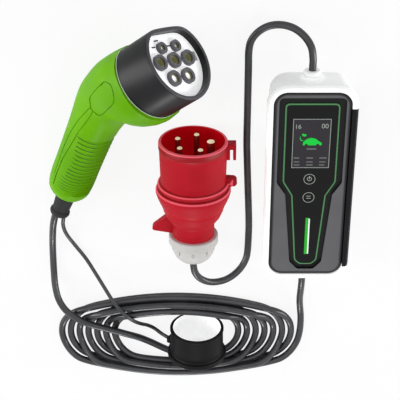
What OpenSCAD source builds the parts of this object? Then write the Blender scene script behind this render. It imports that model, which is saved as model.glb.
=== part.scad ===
// Portable charging set for an electric car, laid out flat: a vehicle connector,
// a control box, a five pin supply plug, one coiled cable and a protective cap.
// Origin: centre of the control box's back face. +Y: towards the supply end of the box.

/* [Control box] */
// Width of the box across the pale rim
box_w = 78; // [74:1:88]
// Length of the box
box_l = 194; // [186:2:210]
// Height of the box as it lies on its back
box_h = 42; // [40:1:48]
// Corner radius of the box seen from the front
box_corner_r = 18; // [14:1:22]
// How far the back of the rear shell is set in from the rim
back_inset = 7; // [5:0.5:9]
// Wall of the rear shell
case_wall = 2.6; // [2:0.1:3.2]
// Width of the pale rim
rim_w = 5.6; // [4.6:0.2:7]
// Depth of the pale rim
rim_h = 9; // [8:0.5:11]
// Width of the ledge inside the rim that carries the gasket
ledge_w = 3.4; // [2.6:0.2:3.8]
// Thickness of the gasket under the front cover
gasket_t = 1; // [0.6:0.1:1.2]
// Thickness of the front cover
cover_t = 5; // [4.4:0.2:6]
// Depth of the shield shaped recess in the front cover
shield_depth = 2.4; // [1.6:0.2:3]
// Height of the cable axis in the box
gland_z = 20; // [18:0.5:22]
// Outer radius of the cable collars
collar_r = 9; // [8:0.5:11]
// How far a cable collar stands out of the box
collar_len = 5.5; // [4:0.5:9]

/* [Control panel] */
// Half width of the glossy panel at the screen
panel_half_w = 22; // [20:0.5:24]
// Half width of the glossy panel at the keys
panel_neck = 14; // [12.5:0.5:16]
// Thickness of the glossy panel
panel_t = 2; // [1.6:0.2:2.4]
// Width of the green line round the glossy panel
line_w = 1.2; // [0.8:0.1:1.6]
// Width of the display
display_w = 33; // [28:1:36]
// Length of the display
display_l = 48; // [40:1:50]
// Radius of a touch key
key_r = 5.4; // [4.5:0.1:6]
// Distance between the two touch keys
key_pitch = 18.5; // [16:0.5:20]
// Width of the light bar
light_w = 3; // [2:0.5:4]
// Length of the light bar
light_l = 38; // [30:1:42]

/* [Vehicle connector] */
// Width of the dark barrel across its round sides
barrel_w = 70; // [68:1:74]
// Height of the flat top of the barrel above its axis
barrel_flat = 29.5; // [28:0.5:31]
// Length of the barrel in front of the shell
barrel_len = 38.5; // [36:0.5:44]
// Wall of the barrel
barrel_wall = 3.6; // [3:0.2:4.4]
// Depth of the barrel's tail inside the shell
barrel_tail = 12; // [9:0.5:14]
// Wall of the green shell
shell_wall = 2.8; // [2.4:0.1:3.4]
// Distance between neighbouring contacts of the middle row
contact_pitch = 17; // [16.5:0.1:17.5]
// Bore radius of a power contact
power_bore_r = 3; // [2.8:0.05:3.2]
// Bore radius of a signal contact
signal_bore_r = 1.5; // [1.3:0.05:1.7]
// Depth of the pale contact face behind the barrel's rim
face_depth = 7; // [5:0.5:10]
// How far the contact towers stay behind the barrel's rim
tower_recess = 4; // [2:0.5:5]
// Depth of the contact carrier behind the pale face
carrier_t = 18; // [15:0.5:20]
// Number of grip ribs
rib_count = 18; // [14:1:20]
// Height of a grip rib
rib_h = 1.2; // [0.5:0.1:1.5]
// Depth of the label field in the left shell half
label_depth = 0.7; // [0.4:0.1:1]
// Length of the strain relief
relief_len = 25; // [22:1:30]
// Radius of the strain relief at the handle
relief_r = 9; // [8.5:0.25:10]

/* [Supply plug] */
// Outer radius of the plug's shroud
shroud_r = 30.5; // [29:0.5:32]
// Wall of the shroud
shroud_wall = 2.6; // [2.4:0.1:3.2]
// Depth of the shroud's mouth
shroud_depth = 40; // [36:1:44]
// Length of the shroud part up to the flange's back
shroud_len = 64; // [61:1:68]
// Radius of the circle that the pins stand on
pin_circle_r = 15.6; // [15:0.1:16.5]
// Radius of a phase or neutral pin
pin_r = 2.5; // [2.3:0.05:2.6]
// Radius of the earth pin
earth_pin_r = 3.5; // [3.2:0.05:3.6]
// How far the pins end behind the mouth
pin_recess = 1; // [0.5:0.5:4]
// Turn of the pins against the key
pin_turn = -6.5; // [-10:0.5:0]
// Length of the rear housing and its neck
rear_len = 30; // [28:1:34]
// Length of the gland nut
nut_len = 26; // [24:1:30]
// Outer radius of the gland nut
nut_r = 22.4; // [21.6:0.2:24]
// Number of grip grooves in the gland nut
nut_grooves = 10; // [8:1:14]

/* [Cap] */
// Outer radius of the cap at its mouth
cap_r = 25; // [24:0.5:27]
// Length of the cap
cap_len = 32; // [28:1:34]
// Wall of the cap
cap_wall = 2.2; // [1.8:0.1:2.8]
// How far the flange at the cap's closed end stands out
cap_rim = 3.2; // [2.4:0.2:4]

/* [Cable] */
// Diameter of the main and the supply cable
cable_d = 6.5; // [6:0.1:7]
// Diameter of the cap's tether
tether_d = 3.6; // [3.2:0.1:4]
// Half length of the innermost turn of the coil
coil_inner_a = 56; // [54:1:58]
// Half width of the innermost turn of the coil
coil_inner_b = 29; // [28:0.5:30]
// Radius of the innermost turn round its ends
coil_end_r = 26; // [25:0.5:27]
// Growth of the half length for each turn
coil_step_a = 8.65; // [8.5:0.05:8.8]
// Growth of the half width for each turn
coil_step_b = 2.3; // [2.2:0.05:2.4]
// Growth of the end radius for each turn
coil_step_r = 0.9; // [0.8:0.05:1]
// Number of turns of the coil
coil_turns = 7.3; // [7.1:0.1:7.4]

/* [Fits] */
// Gap between pieces that are fitted into each other
fit_gap = 0.2; // [0.1:0.05:0.4]
// Gap round a cable in a gland or relief
cable_gap = 0.3; // [0.2:0.05:0.5]

/* [Hidden] */

round_fn = 72;
small_fn = 32;

case_black = [0.09, 0.09, 0.10];
cover_grey = [0.36, 0.37, 0.40];
shell_green = [0.42, 0.68, 0.06];
barrel_grey = [0.18, 0.18, 0.19];
plug_red = [0.72, 0.12, 0.17];
nut_white = [0.82, 0.80, 0.78];
cable_grey = [0.20, 0.20, 0.21];
brass = [0.86, 0.76, 0.52];

// Small helpers

module rounded_plate(w, l, r, t) {
    linear_extrude(t) rounded_outline(w, l, r);
}

module rounded_outline(w, l, r) {
    square([w, l - 2 * r], center = true);
    square([w - 2 * r, l], center = true);
    for (x = [-1, 1], y = [-1, 1])
        translate([x * (w / 2 - r), y * (l / 2 - r)]) circle(r, $fn = small_fn);
}

// A lofted skin over rings of equal length, closed at both ends.
module skin_rings(rings) {
    count = len(rings[0]);
    last = len(rings) - 1;
    points = [for (ring = rings) each ring];
    sides = [for (i = [0:last - 1], j = [0:count - 1])
        [i * count + j, i * count + (j + 1) % count, (i + 1) * count + (j + 1) % count, (i + 1) * count + j]];
    start = [[for (j = [0:count - 1]) count - 1 - j]];
    finish = [[for (j = [0:count - 1]) last * count + j]];
    polyhedron(points = points, faces = concat(sides, start, finish), convexity = 10);
}

// Smooth value between four neighbours of a list.
function blend4(p0, p1, p2, p3, t) =
    0.5 * (2 * p1 + (p2 - p0) * t + (2 * p0 - 5 * p1 + 4 * p2 - p3) * t * t
    + (3 * p1 - p0 - 3 * p2 + p3) * t * t * t);

function along(list, s) =
    let (last = len(list) - 1, i = min(floor(s), last - 1), t = s - i)
    blend4(list[max(i - 1, 0)], list[i], list[i + 1], list[min(i + 2, last)], t);

// Control box: an upper and a lower half with a pale rim between them

cover_w = box_w - 2 * rim_w;
cover_l = box_l - 2 * rim_w;
cover_top = box_h - 0.8;
cover_r = box_corner_r - rim_w;
recess_z = cover_top - shield_depth;
rim_z = box_h - rim_h;
cover_z = cover_top - cover_t;
ledge_top = cover_z - fit_gap - gasket_t;
cover_boss_z = rim_z - 2.6;
board_w = box_w - 24;
board_l = box_l - 46;
board_t = 1.6;
board_z = 9;
post_x = box_w / 2 - 17;
post_y = box_l / 2 - 31;
cover_screw_x = box_w / 2 - 15;
cover_screw_y = box_l / 2 - 17;
shield_end = cover_l / 2 - 5.4;
panel_top = cover_l / 2 - 12.4;
panel_foot = cover_l / 2 - 11.4;
display_y = panel_top - 36.4;
key_y = display_y - 34.7;
keys_low = key_y - key_pitch - key_r;
light_y = (keys_low - panel_foot) / 2 - 3;

module box_slab(inset, z, t) {
    translate([0, 0, z])
        rounded_plate(box_w - 2 * inset, box_l - 2 * inset, box_corner_r - inset * 0.6, t);
}

module case_body(wall, top) {
    hull() {
        box_slab(back_inset + wall, wall, 0.1);
        box_slab(back_inset * 0.55 + wall, wall + 3.5, 0.1);
        box_slab(1.2 + wall, top - 0.1, 0.1);
    }
}

module along_box(y) {
    translate([0, y, gland_z]) rotate([-90, 0, 0]) children();
}

module case_rear_shell() {
    color(case_black) difference() {
        union() {
            difference() {
                case_body(0, rim_z);
                case_body(case_wall, rim_z + 1);
            }
            for (x = [-post_x, post_x], y = [-post_y, post_y])
                translate([x, y, case_wall - 0.4]) cylinder(r = 3.2, h = board_z - case_wall + 0.4, $fn = small_fn);
            for (x = [-cover_screw_x, cover_screw_x], y = [-cover_screw_y, cover_screw_y])
                translate([x, y, case_wall - 0.4])
                    cylinder(r = 4, h = cover_boss_z - fit_gap - case_wall + 0.4, $fn = small_fn);
            along_box(-box_l / 2) cylinder(r = collar_r + 1, h = back_inset + 2, $fn = round_fn);
            along_box(box_l / 2 - back_inset - 2) cylinder(r = collar_r + 1, h = back_inset + 2, $fn = round_fn);
        }
        for (x = [-post_x, post_x], y = [-post_y, post_y])
            translate([x, y, case_wall + 1]) cylinder(r = 1.3, h = board_z, $fn = small_fn);
        for (x = [-cover_screw_x, cover_screw_x], y = [-cover_screw_y, cover_screw_y]) {
            translate([x, y, -1]) cylinder(r = 1.8, h = box_h, $fn = small_fn);
            translate([x, y, -1]) cylinder(r = 3, h = 4, $fn = small_fn);
        }
        along_box(-box_l / 2 - 1) cylinder(r = collar_r - 2 + fit_gap, h = box_l + 2, $fn = round_fn);
    }
}

module case_rim() {
    color("white") difference() {
        hull() {
            box_slab(0.6, rim_z, 0.1);
            box_slab(0, rim_z + 2, rim_h - 4);
            box_slab(1.6, box_h - 0.1, 0.1);
        }
        translate([0, 0, ledge_top]) rounded_plate(cover_w + 2 * fit_gap, cover_l + 2 * fit_gap, cover_r, rim_h);
        translate([0, 0, rim_z - 1])
            rounded_plate(cover_w - 2 * ledge_w, cover_l - 2 * ledge_w, cover_r - ledge_w, rim_h);
    }
}

module case_gasket() {
    color("dimgray") translate([0, 0, ledge_top]) difference() {
        rounded_plate(cover_w - 0.6, cover_l - 0.6, cover_r, gasket_t);
        translate([0, 0, -1])
            rounded_plate(cover_w - 2 * ledge_w, cover_l - 2 * ledge_w, cover_r - ledge_w, gasket_t + 2);
    }
}

// Shield outline: straight head, drawn in neck and a long taper to a round foot.
module shield_outline(grow) {
    head_half = panel_half_w + 6.7;
    neck_half = panel_neck + 6.8;
    foot_half = 14.6;
    offset(r = 4 + grow) offset(delta = -4) polygon([
        [-head_half, shield_end], [head_half, shield_end], [head_half, key_y - 3.9], [neck_half, key_y - 15.9],
        [foot_half, 8 - shield_end], [foot_half - 7, -shield_end], [7 - foot_half, -shield_end],
        [-foot_half, 8 - shield_end], [-neck_half, key_y - 15.9], [-head_half, key_y - 3.9]]);
}

module panel_outline(grow) {
    offset(r = 2.5 + grow) offset(delta = -2.5) polygon([
        [-panel_half_w, panel_top], [panel_half_w, panel_top], [panel_half_w, key_y - 2.9],
        [panel_neck, key_y - 16.9], [9, 4 - panel_foot], [5, -panel_foot], [-5, -panel_foot],
        [-9, 4 - panel_foot], [-panel_neck, key_y - 16.9], [-panel_half_w, key_y - 2.9]]);
}

module front_cover() {
    color(cover_grey) difference() {
        union() {
            hull() {
                translate([0, 0, cover_z]) rounded_plate(cover_w, cover_l, cover_r, cover_t - 1);
                translate([0, 0, cover_top - 0.1]) rounded_plate(cover_w - 2.4, cover_l - 2.4, cover_r - 1, 0.1);
            }
            for (x = [-cover_screw_x, cover_screw_x], y = [-cover_screw_y, cover_screw_y])
                translate([x, y, cover_boss_z]) cylinder(r = 3.6, h = cover_z - cover_boss_z + 0.5, $fn = small_fn);
        }
        translate([0, 0, recess_z]) linear_extrude(shield_depth + 1) shield_outline(0);
        for (x = [-cover_screw_x, cover_screw_x], y = [-cover_screw_y, cover_screw_y])
            translate([x, y, cover_boss_z - 1]) cylinder(r = 1.3, h = cover_z - cover_boss_z + 2, $fn = small_fn);
    }
}

module glossy_panel() {
    color([0.02, 0.02, 0.02]) difference() {
        translate([0, 0, recess_z]) linear_extrude(panel_t) panel_outline(0);
        translate([-display_w / 2 - fit_gap, display_y - display_l / 2 - fit_gap, recess_z + 0.8])
            cube([display_w + 2 * fit_gap, display_l + 2 * fit_gap, panel_t]);
        for (i = [0, 1])
            translate([0, key_y - i * key_pitch, recess_z + 0.8])
                cylinder(r = key_r + fit_gap, h = panel_t, $fn = round_fn);
        translate([-light_w / 2 - fit_gap, light_y - light_l / 2 - fit_gap, recess_z + 0.8])
            cube([light_w + 2 * fit_gap, light_l + 2 * fit_gap, panel_t]);
    }
}

module panel_light_line() {
    color([0.2, 0.8, 0.2]) translate([0, 0, recess_z]) linear_extrude(panel_t - 0.6) difference() {
        panel_outline(fit_gap / 2 + line_w);
        panel_outline(fit_gap / 2);
    }
}

module display() {
    color([0.2, 0.21, 0.22]) translate([-display_w / 2, display_y - display_l / 2, recess_z + 0.8])
        cube([display_w, display_l, panel_t - 0.7]);
}

module touch_keys() {
    color([0.12, 0.12, 0.13]) for (i = [0, 1])
        translate([0, key_y - i * key_pitch, recess_z + 0.8]) difference() {
            cylinder(r = key_r, h = panel_t - 0.5, $fn = round_fn);
            translate([0, 0, panel_t - 0.9]) cylinder(r = key_r - 1, h = 1, $fn = round_fn);
        }
}

module light_bar() {
    color([0.3, 0.9, 0.3]) translate([-light_w / 2, light_y - light_l / 2, recess_z + 0.8])
        cube([light_w, light_l, panel_t - 0.6]);
}

module cover_screws() {
    color("silver") for (x = [-cover_screw_x, cover_screw_x], y = [-cover_screw_y, cover_screw_y])
        translate([x, y, 0]) difference() {
            union() {
                translate([0, 0, 1]) cylinder(r = 2.8, h = 2, $fn = small_fn);
                translate([0, 0, 1]) cylinder(r = 1.2, h = rim_z + 1, $fn = small_fn);
            }
            translate([0, 0, 0.5]) cylinder(r = 1.1, h = 1.6, $fn = 6);
        }
}

module circuit_board() {
    color("darkgreen") difference() {
        translate([-board_w / 2, -board_l / 2, board_z]) cube([board_w, board_l, board_t]);
        for (x = [-post_x, post_x], y = [-post_y, post_y])
            translate([x, y, board_z - 1]) cylinder(r = 1.5, h = board_t + 2, $fn = small_fn);
    }
}

module board_screws() {
    color("silver") for (x = [-post_x, post_x], y = [-post_y, post_y])
        translate([x, y, 0]) {
            translate([0, 0, board_z + board_t]) cylinder(r = 2.6, h = 1.6, $fn = small_fn);
            translate([0, 0, board_z - 5]) cylinder(r = 1.15, h = 5 + board_t, $fn = small_fn);
        }
}

board_top = board_z + board_t;
relay_size = [18, 22, 14];
relay_x = [-14, 10];
block_y = post_y - 4;
sensor_y = 14 - block_y;
relay_y = [sensor_y + 20, sensor_y + 45];
sensor_r = 8;
sensor_bore = 4.4;
sensor_h = 11;
module_place = [-12, block_y - 33];
module_size = [30, 26, 17];
block_size = [26, 10, 12];
block_pitch = 5;

module relays() {
    color("royalblue") for (x = relay_x, y = relay_y)
        translate([x, y, board_top]) difference() {
            translate([-relay_size[0] / 2, -relay_size[1] / 2, 0]) cube(relay_size);
            for (side = [-1, 1])
                translate([side * (relay_size[0] / 2), -relay_size[1], relay_size[2] - 1])
                    rotate([0, 45, 0]) translate([-1, 0, -1]) cube([2, 2 * relay_size[1], 2]);
        }
}

module current_sensor() {
    color("black") translate([0, sensor_y, board_top]) rotate_extrude($fn = round_fn)
        translate([sensor_bore, 0]) square([sensor_r - sensor_bore, sensor_h]);
}

module power_module() {
    fin_pitch = 5.6;
    color("dimgray") translate([module_place[0], module_place[1], board_top]) difference() {
        cube(module_size);
        for (i = [0:4]) translate([3 + i * fin_pitch, -1, module_size[2] - 1.5])
            cube([2, module_size[1] + 2, 2]);
    }
}

module terminal_blocks() {
    color("seagreen") for (side = [-1, 1])
        translate([0, side * block_y, board_top]) difference() {
            translate([-block_size[0] / 2, -block_size[1] / 2, 0]) cube(block_size);
            for (i = [-2:2]) {
                translate([i * block_pitch, 0, block_size[2] / 2])
                    cylinder(r = 1.7, h = block_size[2], $fn = small_fn);
                translate([i * block_pitch, 0, 4]) rotate([-side * 90, 0, 0])
                    cylinder(r = 1.6, h = block_size[1], $fn = small_fn);
            }
        }
}

// A collar screwed into the end wall: thread part inside, low round collar outside.
module cable_collar() {
    inner = case_wall + back_inset + 4;
    color("black") difference() {
        union() {
            translate([0, 0, -inner]) cylinder(r = collar_r - 2, h = inner + 1, $fn = round_fn);
            translate([0, 0, 0]) rotate_extrude($fn = round_fn) polygon([
                [0, 0], [collar_r, 0], [collar_r, collar_len * 0.35], [collar_r - 1.2, collar_len * 0.45],
                [collar_r - 1.6, collar_len - 1.2], [collar_r - 2.6, collar_len], [0, collar_len]]);
        }
        translate([0, 0, -inner - 1])
            cylinder(r = cable_d / 2 + cable_gap, h = inner + collar_len + 2, $fn = round_fn);
    }
}

module upper_collar() {
    translate([0, box_l / 2 + fit_gap, gland_z]) rotate([-90, 0, 0]) cable_collar();
}

module lower_collar() {
    translate([0, -box_l / 2 - fit_gap, gland_z]) rotate([90, 0, 0]) cable_collar();
}

// Vehicle connector, built about its own axis: z forward out of the barrel,
// y towards the spine, z = 0 at the seam between the shell and the barrel.

connector_turn = [-51.5, 48.5, -16.5];
connector_place = [-138, 109.5, 53.25];
barrel_r = barrel_w / 2;
face_z = barrel_len - face_depth;
tower_top = barrel_len - tower_recess;
carrier_z = face_z - carrier_t;
power_tower_r = 6.7;
signal_tower_r = 5;
power_tail = 14;
signal_tail = 12;
power_sleeve_r = power_bore_r + 1.1;
signal_sleeve_r = signal_bore_r + 0.9;
lower_row_y = -14.8;
signal_row_y = 11.7;
row_lift = 2;
power_places = [
    [-contact_pitch, row_lift], [0, row_lift], [contact_pitch, row_lift],
    [-contact_pitch / 2, row_lift + lower_row_y], [contact_pitch / 2, row_lift + lower_row_y]];
signal_places = [
    [-contact_pitch / 2, row_lift + signal_row_y], [contact_pitch / 2, row_lift + signal_row_y]];

// Stations of the shell from the seam to the handle's end:
// [z, y, tilt, half width, reach to the spine, reach to the grip side]
shell_stations = [
    [0, 0, 0, 36.9, 31.8, 36.9],
    [-12, 0.5, 3, 37.4, 33, 38],
    [-26, 2, 8, 35.4, 31.8, 36.4],
    [-39, 3.4, 14, 31.2, 28.6, 31.6],
    [-52, 3.2, 20, 27, 25.4, 26],
    [-65, -0.6, 25, 23.4, 22.8, 23.2],
    [-80, -8, 30, 20.6, 20.6, 21.4],
    [-99, -19.6, 32, 19.4, 20, 20.6],
    [-117, -31, 33, 19, 19.8, 20],
    [-131, -40, 33, 18.8, 19.6, 19.6],
    [-140.5, -46.2, 33, 17.4, 18.2, 18],
    [-145, -49.1, 33, 14.2, 14.8, 14.6]];
last_station = len(shell_stations) - 1;
end_station = shell_stations[last_station];
grip_from = 6.2;
grip_to = 9.7;
rings_per_rib = 3;
shell_sides = 28;

function bent(v, p) = sign(v) * pow(abs(v), p);

function shell_point(st, angle, inset, dip) =
    let (c = bent(cos(angle), 0.88), s = bent(sin(angle), 0.88),
        reach = s > 0 ? st[4] : st[5],
        x = (st[3] - inset - dip * 0.4) * c,
        y = (reach - inset - (s < 0 ? dip : 0)) * s)
    [x, st[1] + y * cos(st[2]), st[0] - y * sin(st[2])];

function shell_ring(s, inset, dip) =
    let (st = [for (k = [0:5]) along([for (row = shell_stations) row[k]], s)])
    [for (j = [0:shell_sides - 1]) shell_point(st, j * 360 / shell_sides, inset,
        dip * pow(max(0, -sin(j * 360 / shell_sides) - 0.1) / 0.9, 0.35))];

smooth_steps = 3;
rib_rings = rib_count * rings_per_rib;
shell_steps = concat(
    [for (i = [0:floor(grip_from * smooth_steps)]) [i / smooth_steps, 0]],
    [for (i = [1:rib_rings - 1])
        [grip_from + (grip_to - grip_from) * i / rib_rings, (i % rings_per_rib < 2 ? rib_h : 0)]],
    [for (i = [0:smooth_steps + 1]) [min(last_station, grip_to + i * 0.35), 0]]);

module shell_solid() {
    skin_rings([for (step = shell_steps) shell_ring(step[0], 0, step[1])]);
}

module shell_hollow() {
    skin_rings([for (s = [0.9:0.8:last_station - 0.5]) shell_ring(s, shell_wall, 0)]);
}

// Plain inner form that the screw bosses are trimmed to.
module boss_limit() {
    skin_rings([for (s = [1:1:last_station - 1]) shell_ring(s, shell_wall * 0.6, 0)]);
}

// D shaped outline: round sides with a soft flat on the spine side.
function d_reach(angle, r, flat) =
    let (s = sin(angle)) s <= 0 ? r : pow(pow(r, -14) + pow(flat / s, -14), -1 / 14);

function d_point(angle, r, flat, inset) =
    let (q = d_reach(angle, r, flat) - inset) [q * cos(angle), q * sin(angle)];

module d_outline(inset) {
    polygon([for (i = [0:round_fn - 1]) d_point(i * 360 / round_fn, barrel_r, barrel_flat, inset)]);
}

module in_connector() {
    translate(connector_place) rotate(connector_turn) children();
}

// Label field and the fine groove that runs from it to the handle's end, as [z, y] on the left side
label_field = [[-16, 9], [-8, 5], [-6, -2], [-12, -9], [-48, -10], [-50.5, -2], [-43, 6]];
groove_line = [[-50, -5], [-65, -8.5], [-81, -12], [-97, -18.5], [-114, -25], [-129, -34], [-137, -39.5]];
groove_w = 1.2;

module label_cut() {
    difference() {
        rotate([0, -90, 0]) linear_extrude(2 * barrel_r) {
            offset(r = 2) offset(delta = -2) polygon(label_field);
            for (i = [0:len(groove_line) - 2]) hull() {
                translate(groove_line[i]) circle(groove_w / 2, $fn = 8);
                translate(groove_line[i + 1]) circle(groove_w / 2, $fn = 8);
            }
        }
        skin_rings([for (s = [0:0.5:last_station]) shell_ring(s, label_depth, 0)]);
    }
}

screw_spots = [[-24, -6], [-58, 2], [-101, -10], [-125, -24.5]];
boss_r = 3.4;
screw_reach = 11;

module shell_half(side) {
    inside_reach = 60;
    difference() {
        union() {
            difference() {
                shell_solid();
                shell_hollow();
                translate([0, 0, -barrel_tail - 2])
                    linear_extrude(barrel_tail + 4) d_outline(-fit_gap);
            }
            intersection() {
                boss_limit();
                for (spot = screw_spots) translate([0, spot[1], spot[0]])
                    rotate([0, 90, 0]) cylinder(r = boss_r, h = 2 * inside_reach, center = true, $fn = small_fn);
            }
        }
        translate([side > 0 ? -2 * inside_reach : -fit_gap / 2, -inside_reach * 2, -4 * inside_reach])
            cube([2 * inside_reach + fit_gap / 2, 4 * inside_reach, 5 * inside_reach]);
        for (spot = screw_spots) translate([0, spot[1], spot[0]]) rotate([0, 90, 0]) {
            translate([0, 0, -9]) cylinder(r = 1.4, h = inside_reach, $fn = small_fn);
            translate([0, 0, screw_reach - 1]) cylinder(r = 3.1, h = inside_reach, $fn = small_fn);
        }
        relief_socket();
        if (side < 0) label_cut();
    }
}

module relief_socket() {
    at_relief() translate([0, 0, -relief_inner - 2])
        cylinder(r = relief_r - 2.5 + fit_gap, h = relief_inner + 8, $fn = round_fn);
}

// Places the strain relief's own z axis out of the handle's end.
module at_relief() {
    translate([0, end_station[1], end_station[0]]) rotate([180 - end_station[2], 0, 0]) children();
}

module connector_shell_left() {
    color(shell_green) in_connector() shell_half(-1);
}

module connector_shell_right() {
    color(shell_green) in_connector() shell_half(1);
}

module connector_barrel() {
    ledge = barrel_wall + 2.2;
    profile = [
        [0, -barrel_tail], [0, barrel_len - 2], [0.35, barrel_len - 0.9], [1.1, barrel_len - 0.2],
        [2, barrel_len], [barrel_wall - 0.7, barrel_len], [barrel_wall, barrel_len - 0.8],
        [barrel_wall, carrier_z], [ledge, carrier_z], [ledge, carrier_z - 4],
        [barrel_wall, carrier_z - 7], [barrel_wall, -barrel_tail]];
    count = len(profile);
    color(barrel_grey) in_connector() polyhedron(
        points = [for (i = [0:round_fn - 1], p = profile)
            concat(d_point(i * 360 / round_fn, barrel_r, barrel_flat, p[0]), [p[1]])],
        faces = [for (i = [0:round_fn - 1], k = [0:count - 1])
            let (n = (i + 1) % round_fn, m = (k + 1) % count)
            [i * count + k, i * count + m, n * count + m, n * count + k]],
        convexity = 6);
}

module contact_face() {
    color("white") in_connector() difference() {
        translate([0, 0, face_z - 2.4]) linear_extrude(2.4) d_outline(barrel_wall + fit_gap);
        for (p = power_places) translate([p[0], p[1], 0])
            cylinder(r = power_tower_r + fit_gap, h = barrel_len, $fn = round_fn);
        for (p = signal_places) translate([p[0], p[1], 0])
            cylinder(r = signal_tower_r + fit_gap, h = barrel_len, $fn = round_fn);
    }
}

module contact_carrier() {
    color(barrel_grey) in_connector() difference() {
        union() {
            translate([0, 0, carrier_z]) linear_extrude(face_z - 2.4 - carrier_z)
                d_outline(barrel_wall + fit_gap);
            for (p = power_places) translate([p[0], p[1], carrier_z + 1])
                cylinder(r = power_tower_r, h = tower_top - carrier_z - 1, $fn = round_fn);
            for (p = signal_places) translate([p[0], p[1], carrier_z + 1])
                cylinder(r = signal_tower_r, h = tower_top - carrier_z - 1, $fn = round_fn);
        }
        for (p = power_places) translate([p[0], p[1], carrier_z - 1])
            cylinder(r = power_sleeve_r + fit_gap, h = barrel_len, $fn = round_fn);
        for (p = signal_places) translate([p[0], p[1], carrier_z - 1])
            cylinder(r = signal_sleeve_r + fit_gap, h = barrel_len, $fn = round_fn);
    }
}

sleeve_front = tower_top - 2;

module contact_sleeve(r, bore, tail) {
    difference() {
        union() {
            translate([0, 0, carrier_z - tail]) cylinder(r = r, h = sleeve_front - carrier_z + tail, $fn = round_fn);
            translate([0, 0, carrier_z - 2]) cylinder(r = r + 1, h = 1.8, $fn = round_fn);
        }
        translate([0, 0, carrier_z - 2]) cylinder(r = bore, h = barrel_len, $fn = round_fn);
        translate([0, 0, carrier_z - tail - 1]) cylinder(r = bore * 0.8, h = tail - 3, $fn = round_fn);
    }
}

module power_contacts() {
    color(brass) in_connector() for (p = power_places)
        translate([p[0], p[1], 0]) contact_sleeve(power_sleeve_r, power_bore_r, power_tail);
}

module signal_contacts() {
    color(brass) in_connector() for (p = signal_places)
        translate([p[0], p[1], 0]) contact_sleeve(signal_sleeve_r, signal_bore_r, signal_tail);
}

module contact_retainer() {
    color("dimgray") in_connector() difference() {
        translate([0, 0, carrier_z - 4.2]) linear_extrude(2) d_outline(barrel_wall + 2.6);
        for (p = power_places) translate([p[0], p[1], carrier_z - 5])
            cylinder(r = power_sleeve_r + fit_gap, h = 4, $fn = round_fn);
        for (p = signal_places) translate([p[0], p[1], carrier_z - 5])
            cylinder(r = signal_sleeve_r + fit_gap, h = 4, $fn = round_fn);
    }
}

// Two part saddle that grips the cable inside the handle's end.
module cable_clamp() {
    size = [18, 13, 8];
    split = 0.8;
    color("silver") in_connector() at_relief() translate([0, 0, -relief_inner - fit_gap - size[2]]) difference() {
        translate([-size[0] / 2, -size[1] / 2, 0]) cube(size);
        rotate(hole_turn) translate([-cable_hole_shift, 0, -1])
            cylinder(r = cable_d / 2 + cable_gap, h = size[2] + 2, $fn = round_fn);
        translate([-size[0], -split / 2, -1]) cube([2 * size[0], split, size[2] + 2]);
        for (x = [-1, 1]) translate([x * (size[0] / 2 - 2.2), -size[1], size[2] / 2])
            rotate([-90, 0, 0]) cylinder(r = 1.1, h = 2 * size[1], $fn = small_fn);
    }
}

module shell_screws() {
    color("silver") in_connector() for (spot = screw_spots)
        translate([0, spot[1], spot[0]]) rotate([0, 90, 0]) difference() {
            union() {
                translate([0, 0, -8]) cylinder(r = 1.2, h = screw_reach + 8, $fn = small_fn);
                translate([0, 0, screw_reach - 1]) cylinder(r = 2.8, h = 2, $fn = small_fn);
            }
            translate([0, 0, screw_reach]) cylinder(r = 1.2, h = 2, $fn = 6);
        }
}

cable_hole_shift = 2.6;
tether_hole_shift = 5;
hole_turn = 45;
relief_inner = 12;

module connector_strain_relief() {
    tip_r = relief_r - 1;
    color("black") in_connector() at_relief() difference() {
        rotate_extrude($fn = round_fn) polygon([
            [0, -relief_inner], [relief_r - 2.5, -relief_inner], [relief_r - 2.5, fit_gap], [relief_r, fit_gap],
            [relief_r, 3], [relief_r - 0.8, 3.4], [relief_r - 0.8, 4.6], [relief_r - 0.2, 5],
            [tip_r - 0.2, relief_len - 6], [tip_r + 1, relief_len - 4.5], [tip_r + 1.2, relief_len - 2.5],
            [tip_r + 0.4, relief_len - 0.6], [tip_r - 0.8, relief_len], [0, relief_len]]);
        rotate(hole_turn) translate([-cable_hole_shift, 0, -relief_inner - 1])
            cylinder(r = cable_d / 2 + cable_gap, h = relief_inner + relief_len + 2, $fn = round_fn);
        rotate(hole_turn) translate([tether_hole_shift, 0, relief_len - 10])
            cylinder(r = tether_d / 2 + cable_gap, h = 12, $fn = small_fn);
    }
}

// Supply plug, built about its own axis: z from the mouth (z = 0) back to the nut.

plug_x = -102;
mouth_y = 42;
carrier_front = shroud_depth;
flange_r = shroud_r + 3;
ridge_z = shroud_len - 23.5;
flange_z = ridge_z + 5.5;
pin_step = 0.6;
pin_end = carrier_front - 5;
plug_axis_z = flange_r;
neck_r = nut_r - 3.4;
rear_z = shroud_len + fit_gap;
nut_z = rear_z + rear_len + fit_gap;

module in_plug() {
    translate([plug_x, mouth_y, plug_axis_z]) rotate([90, 0, 0]) children();
}

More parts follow.
